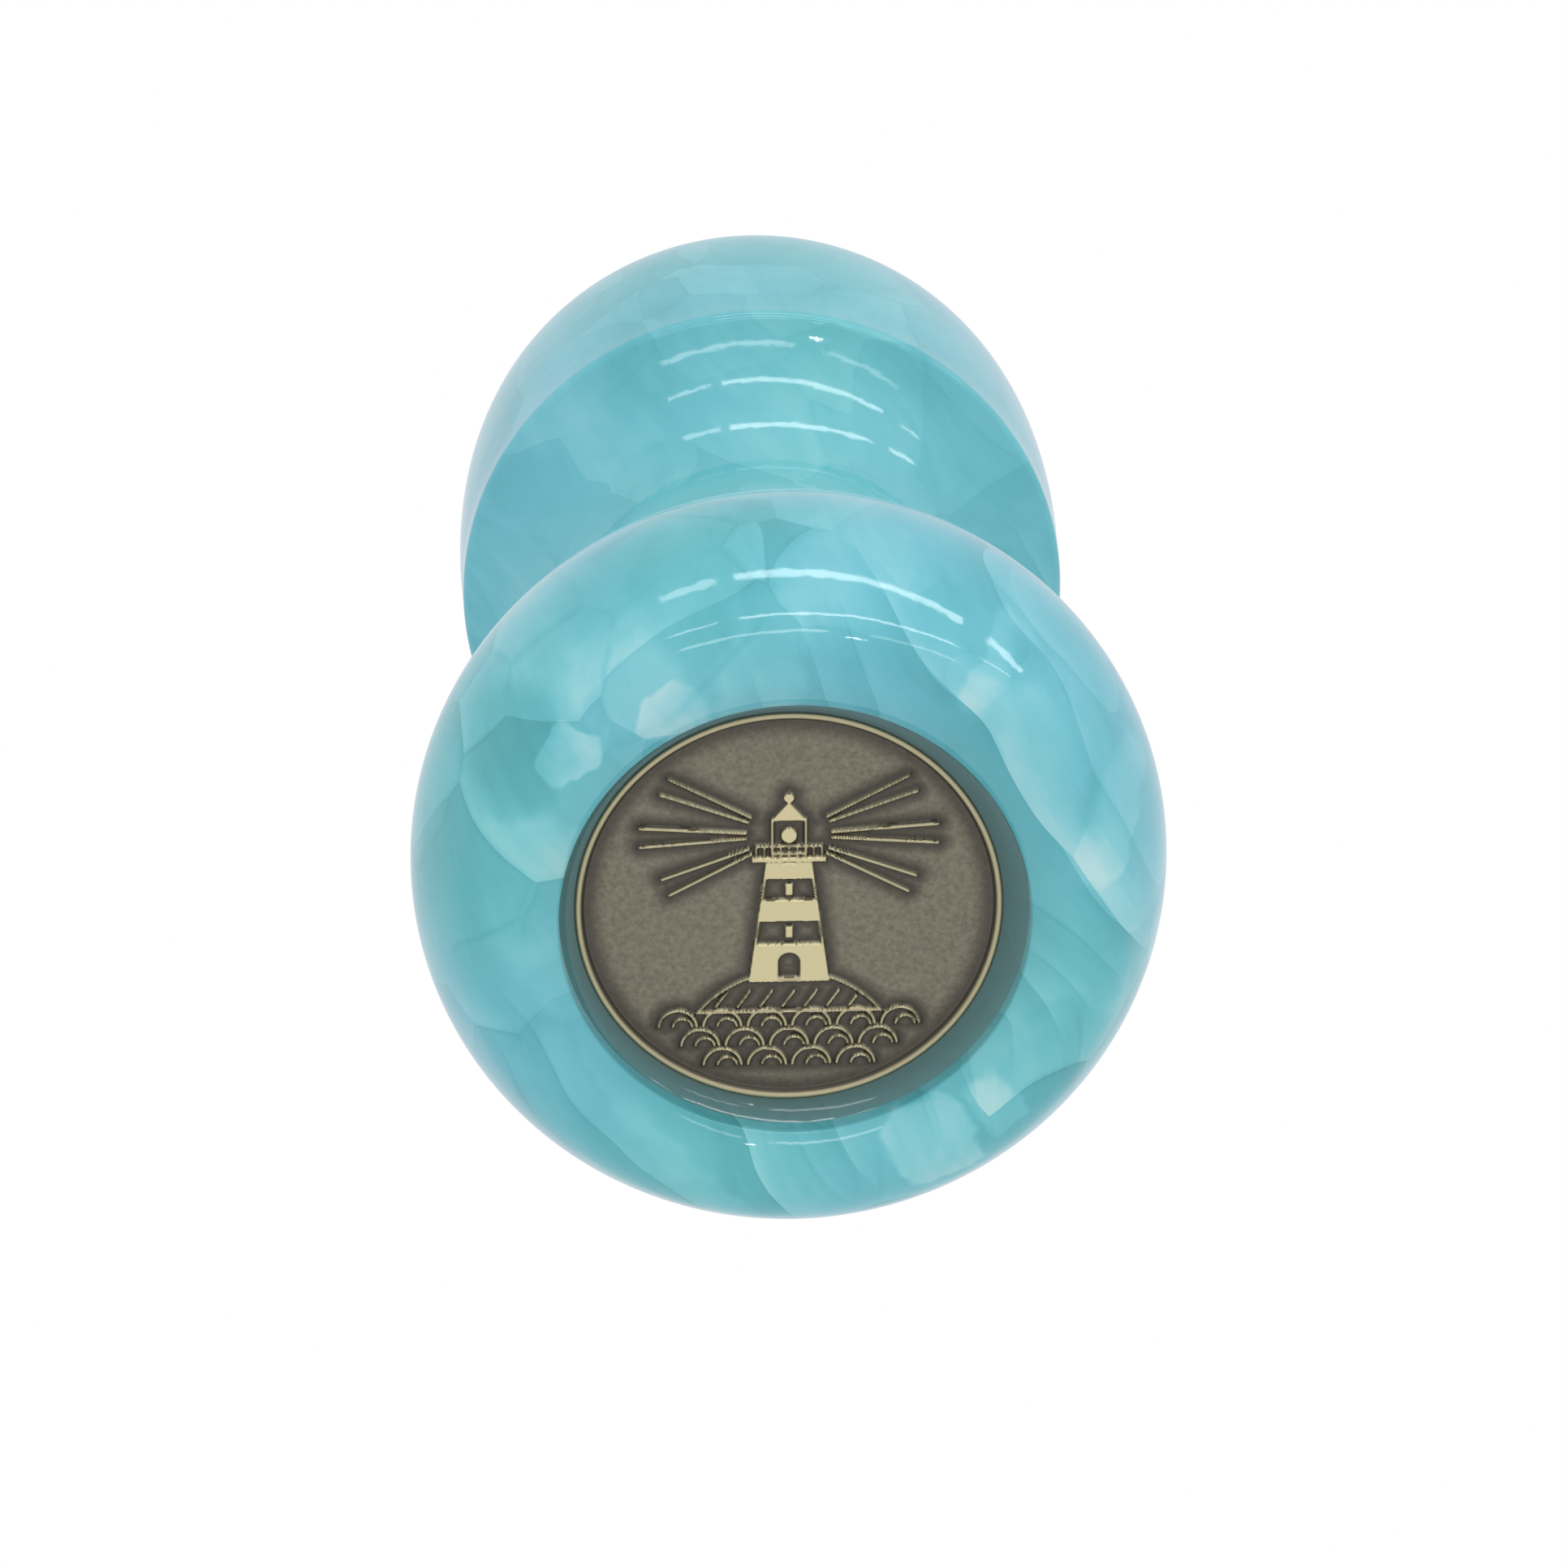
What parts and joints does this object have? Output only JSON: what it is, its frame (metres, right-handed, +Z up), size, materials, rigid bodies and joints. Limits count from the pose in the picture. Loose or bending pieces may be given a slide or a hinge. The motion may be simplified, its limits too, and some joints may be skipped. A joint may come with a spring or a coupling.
{
  "type": "shaving brush handle",
  "caption": "Turned resin handle with a wide round foot, a deep cove under a ridge and a barrel-shaped grip, a socket for a bristle knot at the top and a bronze medallion set in the base.",
  "frame": {"origin": "centre of the ring that the handle stands on, in the plane of the ring", "axes": "+Z up along the axis of the turning, from the foot to the mouth of the knot socket; the medallion in the base faces -Z and the top of its emblem points to -Y"},
  "size_m": [0.0394, 0.0394, 0.064],
  "materials": {
    "resin": "cast polyester resin in turquoise with pale and deep translucent chips, turned and buffed to a wet gloss",
    "bronze": "struck bronze with polished high lines over a dark antique patina",
    "epoxy": "clear cured epoxy, smooth and glossy where it climbs the wall of the recess"
  },
  "bodies": {
    "root": {"handle_body": "resin", "medallion": "bronze", "epoxy_bed": "epoxy"}
  },
  "joints": []
}
